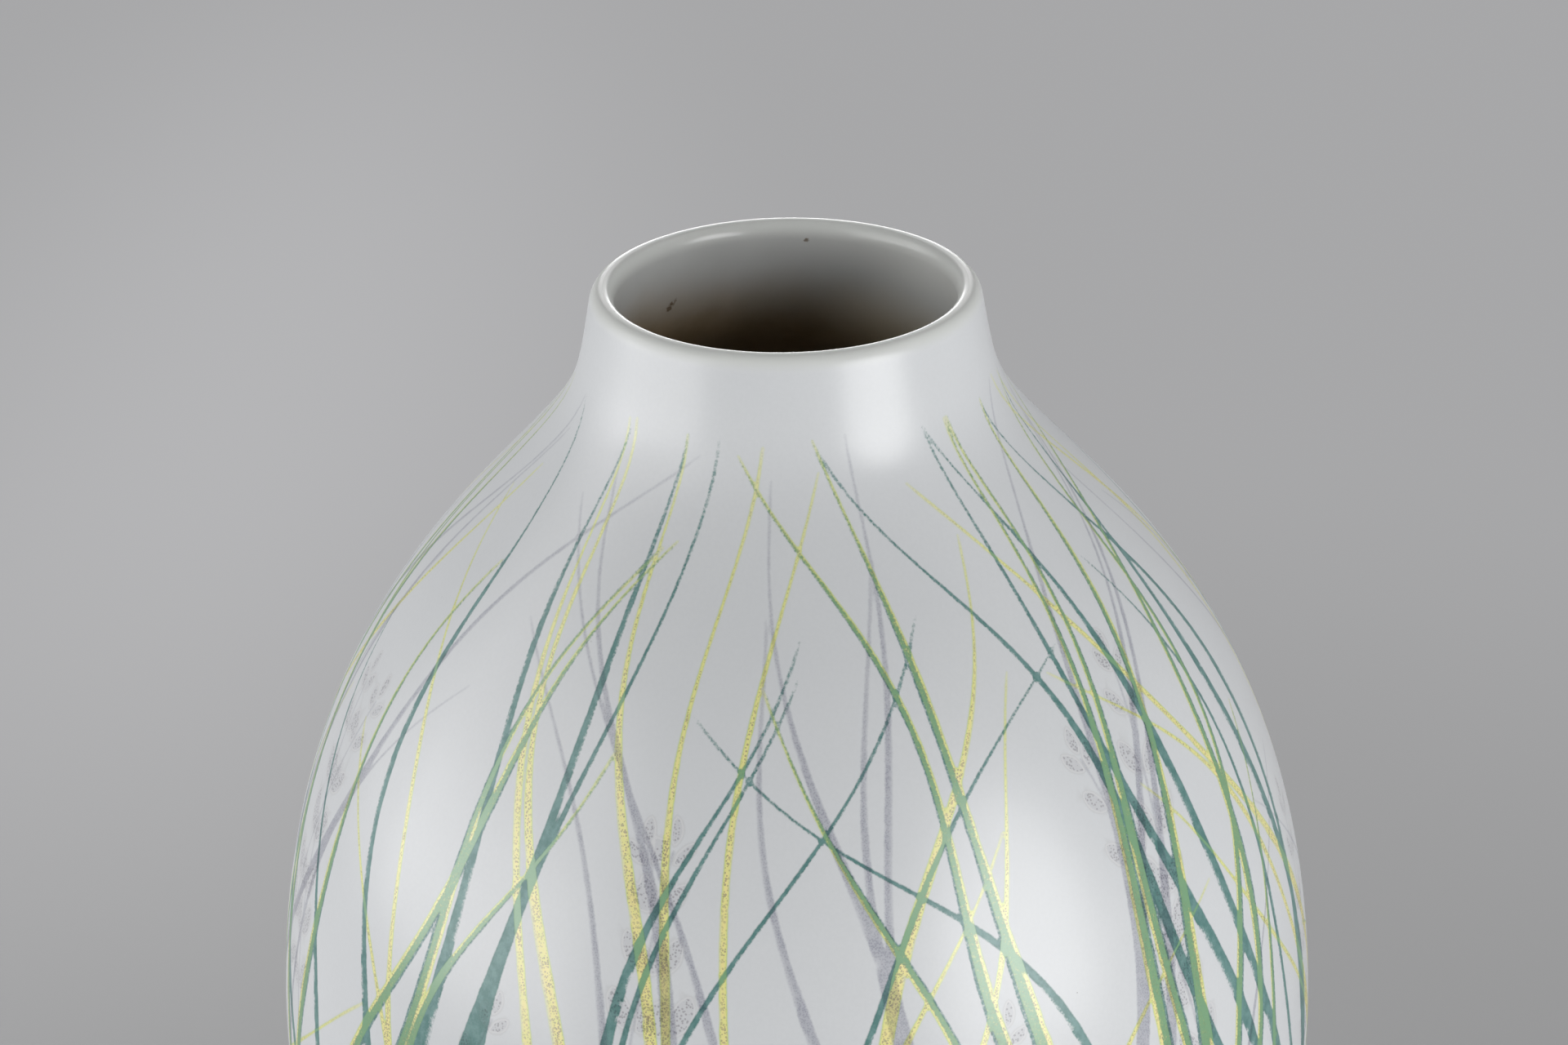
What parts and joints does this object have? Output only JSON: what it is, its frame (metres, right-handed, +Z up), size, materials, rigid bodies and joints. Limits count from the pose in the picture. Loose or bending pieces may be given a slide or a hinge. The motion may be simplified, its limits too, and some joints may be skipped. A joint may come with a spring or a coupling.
{
  "type": "floor vase",
  "caption": "Tall porcelain floor vase: egg-shaped body on a low foot ring, short neck with a thick rounded lip and an open mouth.",
  "frame": {"origin": "on the vase's axis, on the ground under the foot ring", "axes": "+Z up along the axis, out of the mouth; +X and +Y level, and alike because the vase is round"},
  "size_m": [0.3724, 0.3724, 0.6],
  "materials": {
    "glazed_porcelain": "satin",
    "bare_porcelain": "matt, unglazed"
  },
  "bodies": {
    "root": {"foot_ring": "bare_porcelain", "lower_bowl": "glazed_porcelain", "belly": "glazed_porcelain", "shoulder": "glazed_porcelain", "neck": "glazed_porcelain"}
  },
  "joints": []
}
